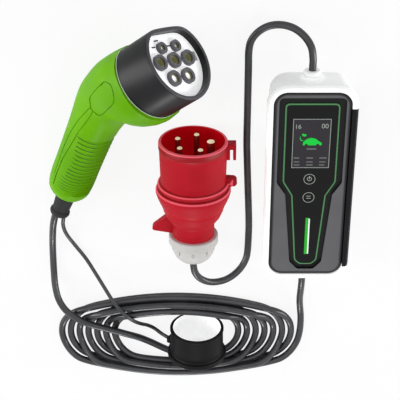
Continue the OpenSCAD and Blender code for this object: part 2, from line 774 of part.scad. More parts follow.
module plug_shroud() {
    color(plug_red) in_plug() difference() {
        union() {
            rotate_extrude($fn = round_fn) polygon([
                [0, 1], [shroud_r - 1.6, 0], [shroud_r - 0.5, 0.3], [shroud_r, 1.2], [shroud_r, 6],
                [shroud_r - 0.6, 7], [shroud_r - 1.5, ridge_z - 1], [shroud_r, ridge_z],
                [shroud_r + 1.3, ridge_z + 1], [shroud_r + 1.3, ridge_z + 2.8], [shroud_r, ridge_z + 3.6],
                [shroud_r, ridge_z + 4.6], [shroud_r + 1.8, flange_z], [flange_r, flange_z + 1.4],
                [flange_r, flange_z + 3.4], [flange_r - 1.2, flange_z + 7.5], [flange_r - 3.4, shroud_len - 5],
                [flange_r - 5, shroud_len - 2], [flange_r - 5.4, shroud_len], [0, shroud_len]]);
            translate([0, 0, 2]) key_lug();
            translate([shroud_r, 0, ridge_z - 0.5]) rotate([90, 0, 0]) flange_lug();
        }
        translate([0, 0, -1]) cylinder(r = shroud_r - shroud_wall, h = shroud_depth + 1, $fn = round_fn);
        translate([0, 0, shroud_depth - 1])
            cylinder(r = shroud_r - shroud_wall - 3, h = shroud_len, $fn = round_fn);
    }
}

// Key that lines the plug up with its socket, a hooked rib at the mouth's side.
module key_lug() {
    key_size = [8.5, 9, 15];
    translate([shroud_r - 1.5, -key_size[1] / 2, 0]) difference() {
        cube(key_size);
        translate([3.2, -1, 5]) cube([2.8, key_size[1] + 2, key_size[2]]);
    }
}

module flange_lug() {
    hull() {
        translate([4.6, 0, -4]) cylinder(r = 3.6, h = 8, $fn = small_fn);
        translate([-1.5, -4, -4]) cube([2, 8, 8]);
    }
}

function pin_angle(i) = i * 72 + pin_turn;

module plug_pin_carrier() {
    outer = shroud_r - shroud_wall;
    color([0.55, 0.08, 0.1]) in_plug() difference() {
        union() {
            translate([0, 0, shroud_depth - 4]) cylinder(r = outer - fit_gap, h = 4 - fit_gap, $fn = round_fn);
            translate([0, 0, shroud_depth - 1]) cylinder(r = outer - 3 - fit_gap, h = 13, $fn = round_fn);
        }
        for (i = [0:4]) rotate(pin_angle(i)) translate([pin_circle_r, 0, 0]) {
            radius = (i == 0 ? earth_pin_r : pin_r) - pin_step;
            translate([0, 0, shroud_depth - 5]) cylinder(r = radius + fit_gap, h = 20, $fn = round_fn);
            translate([0, 0, shroud_depth + 8]) rotate([0, 90, 0])
                cylinder(r = 1.7, h = outer, $fn = small_fn);
        }
    }
}

module contact_pin(r) {
    rotate_extrude($fn = small_fn) polygon([
        [0, pin_recess], [r - 1.2, pin_recess], [r - 0.4, pin_recess + 0.5], [r, pin_recess + 1.6],
        [r, pin_end], [r - pin_step, pin_end], [r - pin_step, shroud_depth + 12], [0, shroud_depth + 12]]);
}

module plug_pins() {
    color(brass) in_plug() for (i = [1:4])
        rotate(pin_angle(i)) translate([pin_circle_r, 0, 0]) contact_pin(pin_r);
}

module plug_earth_pin() {
    color(brass) in_plug() rotate(pin_angle(0)) translate([pin_circle_r, 0, 0]) contact_pin(earth_pin_r);
}

module plug_terminal_screws() {
    color("silver") in_plug() for (i = [0:4]) rotate(pin_angle(i)) {
        start = pin_circle_r + (i == 0 ? earth_pin_r : pin_r) - pin_step + fit_gap;
        translate([start, 0, shroud_depth + 8]) rotate([0, 90, 0]) difference() {
            cylinder(r = 1.5, h = 3.6, $fn = small_fn);
            translate([-2, -0.3, 3]) cube([4, 0.6, 1]);
        }
    }
}

module plug_rear_housing() {
    waist_r = flange_r - 5.8;
    wall = 2.6;
    corner = rear_len * 0.52;
    color(plug_red) in_plug() translate([0, 0, rear_z]) difference() {
        union() {
            rotate_extrude($fn = round_fn) polygon([
                [0, 0], [waist_r, 0], [waist_r - 0.7, 3.5], [waist_r - 3.2, corner - 6], [waist_r - 6, corner - 2],
                [neck_r + 0.8, corner], [neck_r, corner + 2], [neck_r, rear_len], [0, rear_len]]);
            rotate([0, 0, 180]) rotate([90, 0, 0]) translate([0, 0, -3.5]) linear_extrude(7)
                polygon([[neck_r - 3, corner - 5.5], [neck_r + 5, corner - 5], [waist_r + 8.5, rear_len - 9],
                    [waist_r + 9.4, rear_len - 6.5], [waist_r + 8, rear_len - 5], [neck_r - 3, rear_len - 1.5]]);
        }
        translate([0, 0, -1]) cylinder(r = waist_r - wall - 1, h = 5, $fn = round_fn);
        translate([0, 0, 3.9])
            cylinder(r1 = waist_r - wall - 1, r2 = neck_r - wall, h = corner - 3.8, $fn = round_fn);
        translate([0, 0, corner]) cylinder(r = neck_r - wall, h = rear_len, $fn = round_fn);
    }
}

seal_len = 12;

module plug_seal() {
    color("dimgray") in_plug() translate([0, 0, nut_z - seal_len - fit_gap]) difference() {
        cylinder(r = neck_r - 2.6 - fit_gap, h = seal_len, $fn = round_fn);
        translate([0, 0, -1]) cylinder(r = cable_d / 2 + cable_gap, h = seal_len + 2, $fn = round_fn);
    }
}

module plug_gland_nut() {
    mouth_r = cable_d / 2 + cable_gap;
    color(nut_white) in_plug() translate([0, 0, nut_z]) difference() {
        rotate_extrude($fn = round_fn) polygon([
            [0, 0], [nut_r - 0.8, 0], [nut_r, 0.8], [nut_r, 7.5], [nut_r - 0.6, 8.5], [nut_r - 2.4, 9.5],
            [nut_r - 2.8, 14], [nut_r - 4, 18], [nut_r - 6, nut_len - 4], [nut_r - 8.8, nut_len - 1],
            [nut_r - 10.4, nut_len], [0, nut_len]]);
        for (i = [0:nut_grooves - 1]) rotate((i + 0.5) * 360 / nut_grooves)
            translate([nut_r - 3.6, -1.5, 10.5]) cube([5, 3, 9]);
        translate([0, 0, -1]) cylinder(r = mouth_r, h = nut_len + 2, $fn = round_fn);
        translate([0, 0, 2]) cylinder(r = neck_r - 5, h = nut_len * 0.5, $fn = round_fn);
    }
}

// Protective cap, lying on its side inside the coil, mouth towards the plug.

cap_x = -99;
cap_mouth_y = -161;
cap_big_r = cap_r + cap_rim;
cap_axis_z = cap_big_r;
cap_floor = 3;

module in_cap() {
    translate([cap_x, cap_mouth_y, cap_axis_z]) rotate([90, 0, 0]) children();
}

module protective_cap() {
    color(case_black) in_cap() difference() {
        union() {
            rotate_extrude($fn = round_fn) polygon([
                [0, 0], [cap_r, 0], [cap_r + 0.7, 0.5], [cap_r + 0.7, 2], [cap_r, 2.6],
                [cap_r + 0.4, cap_len - 7], [cap_r + 1, cap_len - 6], [cap_big_r - 0.4, cap_len - 5.4],
                [cap_big_r, cap_len - 4.6], [cap_big_r, cap_len - 1.6], [cap_big_r - 1, cap_len - 0.4],
                [cap_r - 1, cap_len], [0, cap_len]]);
            tether_lug();
        }
        translate([0, 0, -1]) cylinder(r = cap_r - cap_wall, h = cap_len - cap_floor + 1, $fn = round_fn);
    }
}

lug_z = cap_len - 5;

lug_drop = 35;

module tether_lug() {
    rotate(lug_drop) translate([-cap_big_r - 5, 0, lug_z]) difference() {
        translate([0, -4, -3]) cube([8, 8, 6]);
        translate([-1, 0, 0]) rotate([0, 90, 0]) cylinder(r = tether_d / 2 + cable_gap, h = 5, $fn = small_fn);
    }
}

// Cables: routes of chosen points, swept as plain tubes.

function unit(v) = v / norm(v);

function route_heading(route, i) =
    unit(route[min(i + 1, len(route) - 1)] - route[max(i - 1, 0)]);

function tube_ring(route, i, r, sides) =
    let (ahead = route_heading(route, i),
        across = unit(cross(ahead, [0, 0, 1])),
        over = cross(across, ahead))
    [for (j = [0:sides - 1]) let (a = j * 360 / sides)
        route[i] + across * (r * cos(a)) + over * (r * sin(a))];

module cable_tube(route, d, sides) {
    skin_rings([for (i = [0:len(route) - 1]) tube_ring(route, i, d / 2, sides)]);
}

connector_route = [
    [-225.6, -35.4, 17.7], [-229, -44.6, 17], [-231.4, -55, 14.4], [-233, -66, 10.6], [-234.2, -77.5, 7],
    [-235, -89.5, 4.6], [-235.4, -102, 3.8], [-235.4, -114.5, 5], [-234.6, -127, 8.6], [-231.6, -139.5, 13],
    [-225, -150.5, 15.8], [-215, -159.5, 16.4], [-203.5, -166.5, 16], [-191.5, -172.5, 13.6],
    [-179.5, -178, 11.2], [-167.5, -184, 8.6], [-156, -190.5, 5.2], [-144.5, -197.5, 3.5],
    [-133, -204.2, 3.4]];

box_route = [
    [2.3, -164.2, 3.6], [1.5, -157, 4.2], [0.5, -148, 6.4], [0, -139, 9.6], [0, -130, 13.4], [0, -121, 17],
    [0, -112, 19.4], [0, -104, 20], [0, -96, 20]];

supply_route = [
    [0, 98, 20], [0, 105, 20], [0, 113, 19.6], [-2, 123.3, 18.4], [-8, 132, 16.4], [-16.7, 138, 13.8],
    [-27, 140, 11], [-37.3, 138, 8.4], [-46, 132, 6], [-52, 123.3, 4.4], [-54, 113, 3.6], [-54, 97, 3.4],
    [-54, 62, 3.4], [-54, 28, 3.4], [-53.5, 11, 3.4], [-52, -23, 3.4], [-50.5, -57, 3.4], [-50.5, -73, 3.4],
    [-51, -88, 4.8], [-52.5, -97, 6.8], [-57, -105, 9.8], [-64, -111, 13.4], [-72, -114, 17.2],
    [-81, -114, 21], [-89, -111, 24.8], [-96, -105, 28.2], [-100.5, -97, 30.8], [-102, -88, 32.6],
    [-102, -80, 33.4], [-102, -71, 33.5]];

tether_route = [
    [-218.5, -38, 17.2], [-221, -45.5, 16.6], [-222.4, -54, 14.2], [-222, -63, 10.4], [-219.8, -72, 6.6],
    [-216, -80.5, 3.8], [-211.5, -88.5, 2.6], [-206.5, -96, 2.8], [-201.5, -103.5, 4.6],
    [-191.5, -118.5, 11.2], [-181.5, -133.5, 18.2], [-176, -141, 21.2], [-170, -148, 23],
    [-163.5, -155, 23], [-157.5, -161.5, 19.8], [-152.5, -167.5, 14.4], [-148.5, -172.6, 8.8],
    [-144.3, -177.6, 4.6], [-139.5, -182.4, 2.8], [-134.5, -186.2, 4], [-129, -188, 7.2],
    [-123.4, -188, 11.1]];

coil_x = -117;
coil_y = -184;
coil_outer_a = coil_inner_a + coil_step_a * coil_turns;
coil_outer_b = coil_inner_b + coil_step_b * coil_turns;
coil_outer_r = coil_end_r + coil_step_r * coil_turns;
coil_hole_a = coil_inner_a + 2;
coil_gap_y = 20;
layer_reach = [coil_outer_a + cable_d, coil_outer_a - 35, coil_inner_a];

// Oval of two tight end arcs and two wide side arcs that meet smoothly.
module oval(a, b, r) {
    side_r = (pow(a - r, 2) + b * b - r * r) / (2 * (b - r));
    half = atan2(a - r, side_r - b);
    steps = 12;
    polygon([for (turn = [0, 1], part = [0, 1], i = [0:steps - 1])
        let (t = 2 * i / steps - 1, flip = 1 - 2 * turn)
        part == 0
            ? flip * [a - r + r * cos(t * (90 - half)), r * sin(t * (90 - half))]
            : flip * [-side_r * sin(t * half), side_r * cos(t * half) - side_r + b]]);
}

// One layer of the coil. The strands lie three high along both long sides
// and side by side, one high, round both ends.
module coil_layer(k) {
    translate([0, 0, k * cable_d]) linear_extrude(cable_d) difference() {
        oval(coil_outer_a + cable_d / 2, coil_outer_b + cable_d / 2, coil_outer_r + cable_d / 2);
        oval(coil_hole_a + k * coil_step_a, coil_inner_b + k * coil_step_b - cable_d / 2,
            coil_end_r + k * coil_step_r - cable_d / 2);
        if (k > 0) square([3 * coil_outer_a, 2 * coil_gap_y], center = true);
        for (side = [-1, 1]) translate([side * (layer_reach[k] + coil_outer_a), 0])
            square([2 * coil_outer_a, 3 * coil_outer_b], center = true);
    }
}

module cable_coil() {
    color(cable_grey) translate([coil_x, coil_y, 0]) for (k = [0:2]) coil_layer(k);
}

module connector_cable() {
    color(cable_grey) cable_tube(connector_route, cable_d, 10);
}

module box_cable() {
    color(cable_grey) cable_tube(box_route, cable_d, 10);
}

module supply_cable() {
    color(cable_grey) cable_tube(supply_route, cable_d, 10);
}

module cap_tether() {
    color(cable_grey) cable_tube(tether_route, tether_d, 8);
}

case_rear_shell();
case_rim();
case_gasket();
front_cover();
glossy_panel();
panel_light_line();
display();
touch_keys();
light_bar();
cover_screws();
circuit_board();
board_screws();
relays();
current_sensor();
power_module();
terminal_blocks();
upper_collar();
lower_collar();
connector_shell_left();
connector_shell_right();
connector_barrel();
contact_face();
contact_carrier();
power_contacts();
signal_contacts();
contact_retainer();
cable_clamp();
shell_screws();
connector_strain_relief();
plug_shroud();
plug_pin_carrier();
plug_pins();
plug_earth_pin();
plug_terminal_screws();
plug_rear_housing();
plug_seal();
plug_gland_nut();
protective_cap();
connector_cable();
cable_coil();
box_cable();
supply_cable();
cap_tether();
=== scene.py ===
import math

import bpy
from mathutils import Euler, Matrix, Vector


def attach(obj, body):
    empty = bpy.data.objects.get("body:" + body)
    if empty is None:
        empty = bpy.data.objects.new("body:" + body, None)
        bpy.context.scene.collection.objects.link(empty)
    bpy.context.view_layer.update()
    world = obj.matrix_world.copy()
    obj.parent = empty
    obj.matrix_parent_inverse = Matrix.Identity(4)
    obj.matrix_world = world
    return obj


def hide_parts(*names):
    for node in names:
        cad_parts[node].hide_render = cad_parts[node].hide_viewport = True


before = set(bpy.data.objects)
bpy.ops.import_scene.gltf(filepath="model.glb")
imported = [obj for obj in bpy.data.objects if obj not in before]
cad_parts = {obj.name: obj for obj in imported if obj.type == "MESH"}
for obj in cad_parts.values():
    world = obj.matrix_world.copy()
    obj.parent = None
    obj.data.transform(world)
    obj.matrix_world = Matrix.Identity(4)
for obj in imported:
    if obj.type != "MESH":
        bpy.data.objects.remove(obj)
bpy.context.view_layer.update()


# Camera. The set is photographed from above, from the side of the box's supply end,
# with the picture's upper edge towards that end. The frame is square.
LOOK_AT = Vector((-0.096, -0.037, 0.0))
CAMERA_DISTANCE = 1.1
CAMERA_RISE = math.radians(60)
SENSOR_WIDTH = 36
LENS = 106.9
to_camera = Vector((0, math.cos(CAMERA_RISE), math.sin(CAMERA_RISE)))
camera_up = Vector((0, math.sin(CAMERA_RISE), -math.cos(CAMERA_RISE)))
bpy.ops.object.camera_add()
camera = bpy.context.object
camera.name = "picture_camera"
camera.data.sensor_width = SENSOR_WIDTH
camera.data.lens = LENS
camera_axes = Matrix((Vector((1, 0, 0)), camera_up, to_camera)).transposed().to_4x4()
camera_place = Matrix.Translation(LOOK_AT + CAMERA_DISTANCE * to_camera)
camera.matrix_world = camera_place @ camera_axes
bpy.context.scene.camera = camera


# Studio: one wide soft lamp over the table, a long one low on each side, and a small one
# beyond the picture's lower edge that draws the streaks on the cables. The world fills the
# shadows, and is white where the camera meets it, also in a gloss.
TABLE_MIDDLE = (-0.1, -0.05, 0)
COIL_FRONT = (-0.12, -0.18, 0)
SKY_FILL = 0.34
SKY_WHITE = 0.95


def soft_lamp(name, place, aim, width, height, power):
    """A rectangular lamp, turned to face the point it aims at."""
    bpy.ops.object.light_add(type="AREA", location=place)
    lamp = bpy.context.object
    lamp.name = name
    lamp.data.shape = "RECTANGLE"
    lamp.data.size = width
    lamp.data.size_y = height
    lamp.data.energy = power
    lamp.rotation_euler = (Vector(aim) - Vector(place)).to_track_quat("-Z", "Y").to_euler()


def add_step(tree, kind, settings, inputs):
    """A shader node. Each input takes a plain value or the output of an earlier step."""
    step = tree.nodes.new("ShaderNode" + kind)
    for field, value in settings.items():
        setattr(step, field, value)
    for name, source in inputs.items():
        if isinstance(source, bpy.types.NodeSocket):
            tree.links.new(source, step.inputs[name])
        else:
            step.inputs[name].default_value = source
    return step


soft_lamp("lamp_above", (-0.1, 0.3, 1.3), TABLE_MIDDLE, 1.1, 0.7, 2.1)
soft_lamp("lamp_left", (-1.1, 0.15, 0.5), TABLE_MIDDLE, 0.4, 1.1, 9)
soft_lamp("lamp_right", (0.9, -0.1, 0.4), TABLE_MIDDLE, 0.3, 1.0, 7)
soft_lamp("lamp_streak", (-0.15, -1.1, 0.5), COIL_FRONT, 0.2, 0.08, 3.2)

world = bpy.data.worlds.new("studio_world")
bpy.context.scene.world = world
world.use_nodes = True
sky = world.node_tree
sky.nodes.clear()
sky_rays = add_step(sky, "LightPath", {}, {}).outputs
sky_direct = add_step(sky, "Math", {"operation": "MAXIMUM"},
                      {0: sky_rays["Is Camera Ray"], 1: sky_rays["Is Transmission Ray"]})
sky_seen = add_step(sky, "Math", {"operation": "MAXIMUM"},
                    {0: sky_direct.outputs[0], 1: sky_rays["Is Glossy Ray"]})
sky_light = add_step(sky, "Background", {}, {"Color": (0.96, 0.98, 1, 1), "Strength": SKY_FILL})
sky_white = add_step(sky, "Background", {}, {"Color": (1, 1, 1, 1), "Strength": SKY_WHITE})
sky_mix = add_step(sky, "MixShader", {}, {0: sky_seen.outputs[0], 1: sky_light.outputs[0],
                                          2: sky_white.outputs[0]})
add_step(sky, "OutputWorld", {}, {0: sky_mix.outputs[0]})
bpy.context.scene.view_settings.view_transform = "Standard"


# Table top: a plain white sheet under the set. The camera sees most of its own white,
# and the rest keeps the soft shadows of the pieces.
TABLE_SIZE = 8
TABLE_Z = -0.0004
TABLE_WHITE = 0.88
bpy.ops.mesh.primitive_plane_add(size=TABLE_SIZE, location=(0, 0, TABLE_Z))
table_top = bpy.context.object
table_top.name = "table_top"
table_paint = bpy.data.materials.new("table_white")
table_paint.use_nodes = True
table_tree = table_paint.node_tree
table_shader = table_tree.nodes["Principled BSDF"]
table_shader.inputs["Base Color"].default_value = (0.94, 0.94, 0.94, 1)
table_shader.inputs["Roughness"].default_value = 0.7
table_rays = add_step(table_tree, "LightPath", {}, {})
table_share = add_step(table_tree, "Math", {"operation": "MULTIPLY"},
                       {0: table_rays.outputs["Is Camera Ray"], 1: TABLE_WHITE})
table_glow = add_step(table_tree, "Emission", {}, {})
table_mix = add_step(table_tree, "MixShader", {}, {0: table_share.outputs[0], 1: table_shader.outputs[0],
                                                   2: table_glow.outputs[0]})
table_tree.links.new(table_mix.outputs[0], table_tree.nodes["Material Output"].inputs[0])
table_top.data.materials.append(table_paint)


# Main cable: one round rubber cable from the connector through the coil into the box.
# It lies seven and a bit turns long on the table, three strands high at front and back.
CABLE = 0.0065
MM = 0.001
COIL_CENTRE = (-117, -184)
INNER_TURN = 0.7
INNER_SIZES = (56, 29, 26)
STEP_PER_TURN = (8.65, 2.3, 0.9)
COIL_FROM = 0.77
COIL_TO = 8.0
POINTS_PER_TURN = 48
STACK = 3
LAYER = 6.63
REST_Z = 3.35
CLIMB_START = 4
CLIMB_LENGTH = 38


def coil_point(u):
    """A point of the oval coil in mm. u counts turns, and a, b and r are the oval's half
    length, its half width and the radius of its ends at that turn."""
    a, b, r = (size + step * (u - INNER_TURN) for size, step in zip(INNER_SIZES, STEP_PER_TURN))
    side_r = ((a - r) ** 2 + b * b - r * r) / (2 * (b - r))
    half = math.atan2(a - r, side_r - b)
    end_arc, side_arc = r * (math.pi / 2 - half), side_r * half
    quarter = int(4 * (u % 1))
    part = 4 * (u % 1) - quarter
    s = (part if quarter % 2 == 0 else 1 - part) * (end_arc + side_arc)
    if s < end_arc:
        x, y = a - r + r * math.cos(s / r), r * math.sin(s / r)
    else:
        t = half - (s - end_arc) / side_r
        x, y = side_r * math.sin(t), side_r * math.cos(t) - side_r + b
    climb = min(1, max(0, (s - CLIMB_START) / CLIMB_LENGTH))
    z = REST_Z + LAYER * (math.floor(u) % STACK) * (1 - math.cos(math.pi * climb)) / 2
    return (COIL_CENTRE[0] + (x if quarter in (0, 3) else -x),
            COIL_CENTRE[1] + (y if quarter < 2 else -y), z)


connector_route = [
    (-225.6, -35.4, 17.7), (-229, -44.6, 17), (-231.4, -55, 14.4), (-233, -66, 10.6),
    (-234.2, -77.5, 7), (-235, -89.5, 4.6), (-235.4, -102, 3.8), (-235.4, -114.5, 5),
    (-234.6, -127, 8.6), (-231.6, -139.5, 13), (-225, -150.5, 15.8), (-215, -159.5, 16.4),
    (-203.5, -166.5, 16), (-191.5, -172.5, 13.6), (-179.5, -178, 11.2), (-167.5, -184, 8.6),
    (-156, -190.5, 5.2), (-144.5, -197.5, 3.5), (-133, -204.2, 3.4), (-121, -210.2, 3.4)]
box_route = [
    (2.6, -175, 3.4), (2.4, -166, 3.5), (1.5, -157, 4.2), (0.5, -148, 6.4), (0, -139, 9.6),
    (0, -130, 13.4), (0, -121, 17), (0, -112, 19.4), (0, -104, 20), (0, -96, 20)]
coil_steps = round((COIL_TO - COIL_FROM) * POINTS_PER_TURN)
coil_route = [coil_point(COIL_FROM + (COIL_TO - COIL_FROM) * i / coil_steps)
              for i in range(coil_steps + 1)]


def round_line(name, route, radius, along, around, handles):
    """A round line with closed ends along points in mm, as one open curve. along and around
    are its steps from point to point and round its section."""
    line = bpy.data.curves.new(name, "CURVE")
    line.dimensions = "3D"
    line.resolution_u = along
    line.bevel_depth = radius
    line.bevel_resolution = around
    line.use_fill_caps = True
    knots = line.splines.new("BEZIER").bezier_points
    knots.add(len(route) - 1)
    for knot, point in zip(knots, route):
        knot.handle_left_type = knot.handle_right_type = handles
        knot.co = Vector(point) * MM
    piece = bpy.data.objects.new(name, line)
    bpy.context.scene.collection.objects.link(piece)
    return piece


def lay_cord(name, route, diameter):
    """A round cord along points in mm, whose handles follow its neighbours."""
    cord = round_line(name, route, diameter / 2, 4, 5, "FREE")
    points = [Vector(p) * MM for p in route]
    for i, knot in enumerate(cord.data.splines[0].bezier_points):
        lean = (points[min(i + 1, len(points) - 1)] - points[max(i - 1, 0)]) / 6
        knot.handle_left = points[i] - lean
        knot.handle_right = points[i] + lean
    return cord


def srgb(red, green, blue):
    """A colour as it is read off a screen, 0 to 255, in the shader's own linear scale."""
    shares = (level / 255 for level in (red, green, blue))
    return tuple(((s + 0.055) / 1.055) ** 2.4 if s > 0.04 else s / 12.92 for s in shares) + (1,)


def moulded(name, colour, deep, rough, cloud=30, grain=1500, bump=0.06, gloss=0.5):
    """Moulded plastic or rubber: the tone drifts slowly, the surface has a fine grain,
    and its roughness wanders between two values, as on a part that has been handled."""
    finish = bpy.data.materials.new(name)
    finish.use_nodes = True
    tree = finish.node_tree
    shader = tree.nodes["Principled BSDF"]
    shader.inputs["Specular IOR Level"].default_value = gloss
    spot = add_step(tree, "TexCoord", {}, {}).outputs["Object"]
    drift = add_step(tree, "TexNoise", {}, {"Vector": spot, "Scale": cloud, "Detail": 4}).outputs["Fac"]
    spread = add_step(tree, "MapRange", {}, {"Value": drift, "From Min": 0.3, "From Max": 0.7})
    tone = add_step(tree, "Mix", {"data_type": "RGBA"},
                    {"A": deep, "B": colour, "Factor": spread.outputs[0]})
    worn = add_step(tree, "MapRange", {}, {"Value": drift, "To Min": rough[0], "To Max": rough[1]})
    fine = add_step(tree, "TexNoise", {}, {"Vector": spot, "Scale": grain, "Detail": 2})
    relief = add_step(tree, "Bump", {}, {"Strength": bump, "Distance": 0.0004,
                                         "Height": fine.outputs["Fac"]})
    tree.links.new(tone.outputs["Result"], shader.inputs["Base Color"])
    tree.links.new(worn.outputs[0], shader.inputs["Roughness"])
    tree.links.new(relief.outputs[0], shader.inputs["Normal"])
    return finish


def settle(piece, finish):
    """Gives a new piece its finish and its body."""
    piece.data.materials.append(finish)
    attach(piece, "root")


cable_rubber = moulded("cable_rubber", srgb(58, 58, 61), srgb(42, 42, 45), (0.24, 0.34),
                       cloud=60, grain=2200)
main_cable = lay_cord("main_cable", connector_route + coil_route + box_route, CABLE)
settle(main_cable, cable_rubber)
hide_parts("connector_cable", "cable_coil", "box_cable")


# Supply cable: the same rubber cable in one high loop from the box's upper collar
# along the box and round into the plug's nut, where it is clamped.
supply_route = [
    (0, 98, 20), (0, 105, 20), (0, 113, 19.6), (-2, 123.3, 18.4), (-8, 132, 16.4),
    (-16.7, 138, 13.8), (-27, 140, 11), (-37.3, 138, 8.4), (-46, 132, 6), (-52, 123.3, 4.4),
    (-54, 113, 3.6), (-54, 97, 3.4), (-54, 62, 3.4), (-54, 28, 3.4), (-53.5, 11, 3.4),
    (-52, -23, 3.4), (-50.5, -57, 3.4), (-50.5, -73, 3.4), (-51, -88, 4.8), (-52.5, -97, 6.8),
    (-57, -105, 9.8), (-64, -111, 13.4), (-72, -114, 17.2), (-81, -114, 21), (-89, -111, 24.8),
    (-96, -105, 28.2), (-100.5, -97, 30.8), (-102, -88, 32.6), (-102, -80, 33.4),
    (-102, -71, 33.5)]
supply_cable = lay_cord("supply_lead", supply_route, CABLE)
settle(supply_cable, cable_rubber)
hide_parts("supply_cable")


# Tether: a thin rubber cord that keeps the cap on the connector. It runs beside the cable
# out of the strain relief, over the coil and into the lug of the cap.
TETHER = 0.0036
tether_route = [
    (-218.5, -38, 17.2), (-221, -45.5, 16.6), (-222.4, -54, 14.2), (-222, -63, 10.4),
    (-219.8, -72, 6.6), (-216, -80.5, 3.8), (-211.5, -88.5, 2.6), (-206.5, -96, 2.8),
    (-201.5, -103.5, 4.6), (-191.5, -118.5, 11.2), (-181.5, -133.5, 18.2), (-176, -141, 21.2),
    (-170, -148, 23), (-163.5, -155, 23), (-157.5, -161.5, 19.8), (-152.5, -167.5, 14.4),
    (-148.5, -172.6, 8.8), (-144.3, -177.6, 4.6), (-139.5, -182.4, 2.8), (-134.5, -186.2, 4),
    (-129, -188, 7.2), (-123.4, -188, 11.1)]
tether = lay_cord("cap_cord", tether_route, TETHER)
settle(tether, cable_rubber)
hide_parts("cap_tether")


# Box shells: the deep rear half and the frame that closes its edge, white with a dark
# right flank, and the rubber seal between them. All are injection moulded or punched.
# The white glows a little, painted light that keeps it white where the lamps don't reach.
RIM_FLANK_X = 0.0335
REAR_FLANK_X = 0.03
FLANK_Y = (-0.083, 0.076)
FLANK_FACING = 0.1
MERGE_WITHIN = 0.000001


def dress(node, finish):
    """Gives a construction piece its finish."""
    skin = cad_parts[node].data
    skin.materials.clear()
    skin.materials.append(finish)


def pick(piece):
    """Selects one piece alone, ready for the next operator."""
    bpy.ops.object.select_all(action="DESELECT")
    bpy.context.view_layer.objects.active = piece
    piece.select_set(True)


def smooth_copy(node, name, angle=34):
    """A merged copy of a construction piece, shaded as the smooth moulding that it is."""
    piece = bpy.data.objects.new(name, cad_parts[node].data.copy())
    bpy.context.scene.collection.objects.link(piece)
    pick(piece)
    bpy.ops.mesh.customdata_custom_splitnormals_clear()
    bpy.ops.object.mode_set(mode="EDIT")
    bpy.ops.mesh.select_all(action="SELECT")
    bpy.ops.mesh.remove_doubles(threshold=MERGE_WITHIN)
    bpy.ops.object.mode_set(mode="OBJECT")
    bpy.ops.object.shade_smooth_by_angle(angle=math.radians(angle))
    piece.data.materials.clear()
    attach(piece, "root")
    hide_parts(node)
    return piece


def split_at(piece, place, normal):
    """Cuts new edges into a piece along a plane, without removing anything."""
    pick(piece)
    bpy.ops.object.mode_set(mode="EDIT")
    bpy.ops.mesh.select_all(action="SELECT")
    bpy.ops.mesh.bisect(plane_co=place, plane_no=normal)
    bpy.ops.object.mode_set(mode="OBJECT")


def paint(piece, finishes, choose):
    """Gives each face the finish whose number choose returns for the face's middle and normal."""
    for finish in finishes:
        piece.data.materials.append(finish)
    for face in piece.data.polygons:
        face.material_index = choose(face.center, face.normal)


def add_glow(finish, colour, power):
    """Gives a finish a light of its own."""
    shader = finish.node_tree.nodes["Principled BSDF"]
    shader.inputs["Emission Color"].default_value = colour
    shader.inputs["Emission Strength"].default_value = power


def on_flank(spot, edge):
    """True on the box's right flank, past the given edge in x."""
    return spot.x > edge and FLANK_Y[0] < spot.y < FLANK_Y[1]


black_plastic = moulded("black_plastic", srgb(20, 20, 22), srgb(14, 14, 16), (0.36, 0.5), gloss=0.15)
white_plastic = moulded("white_plastic", srgb(250, 250, 249), srgb(245, 245, 244), (0.3, 0.42),
                        bump=0.03, gloss=0.3)
# Painted light: the white plastic, also that of the collars, glows a little of its own.
add_glow(white_plastic, (1, 1, 1, 1), 0.22)
seal_rubber = moulded("seal_rubber", srgb(38, 38, 40), srgb(28, 28, 30), (0.6, 0.75), gloss=0.3)
dress("case_gasket", seal_rubber)
dress("upper_collar", white_plastic)
dress("lower_collar", white_plastic)
rim = smooth_copy("case_rim", "rim_frame")
rear_half = smooth_copy("case_rear_shell", "rear_housing")
for half, edge in ((rim, RIM_FLANK_X), (rear_half, REAR_FLANK_X)):
    split_at(half, (edge, 0, 0), (1, 0, 0))
    for y in FLANK_Y:
        split_at(half, (0, y, 0), (0, 1, 0))
paint(rim, (white_plastic, black_plastic), lambda spot, normal: int(on_flank(spot, RIM_FLANK_X)))
paint(rear_half, (white_plastic, black_plastic),
      lambda spot, normal: int(on_flank(spot, REAR_FLANK_X) and normal.x > FLANK_FACING))


# Front cover: a grey moulded plate with a sunk shield for the panel. One moulding, whose
# tone is set by its texture, with painted shade: dark in a border along its rounded edge
# and on the shield's sunk floor.
COVER_HALF = (0.0334, 0.0914)
COVER_CORNER = 0.0124
COVER_BORDER = 0.0026
BORDER_FADE = (-0.0009, 0.0007)
SUNK_BELOW = 0.0409
SUNK_FULLY = 0.0406


